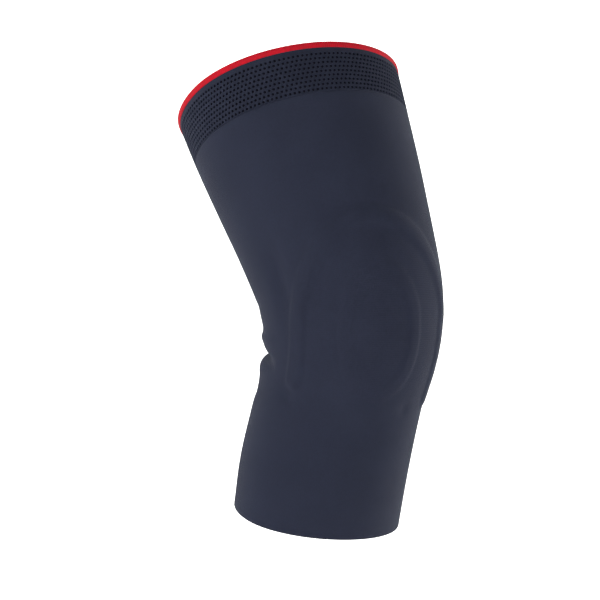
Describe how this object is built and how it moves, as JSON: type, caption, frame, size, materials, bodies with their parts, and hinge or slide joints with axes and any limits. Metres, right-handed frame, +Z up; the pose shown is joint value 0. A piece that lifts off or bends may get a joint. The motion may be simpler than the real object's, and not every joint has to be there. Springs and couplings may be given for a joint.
{
  "type": "knee sleeve",
  "caption": "Seamless knitted knee sleeve in its worn form, a bent tube with an openwork cuff and red edge at the top and a moulded arch pad behind the knit.",
  "frame": {"origin": "centre of the knee, on the tube's centreline", "axes": "+Z up the upright leg, -Y the way the kneecap faces, -X the leg's outer side and +X its inner side"},
  "size_m": [0.1643, 0.2132, 0.3435],
  "materials": {
    "navy_knit": "fine plain knit, matt with a soft sheen at grazing angles",
    "eyelet_knit": "thin openwork knit, matt",
    "red_knit": "rolled knitted edge, matt",
    "silicone": "moulded silicone, satin"
  },
  "bodies": {
    "root": {"red_top_edge": "red_knit", "eyelet_cuff": "eyelet_knit", "sleeve_body": "navy_knit", "patella_pad": "silicone"}
  },
  "joints": []
}
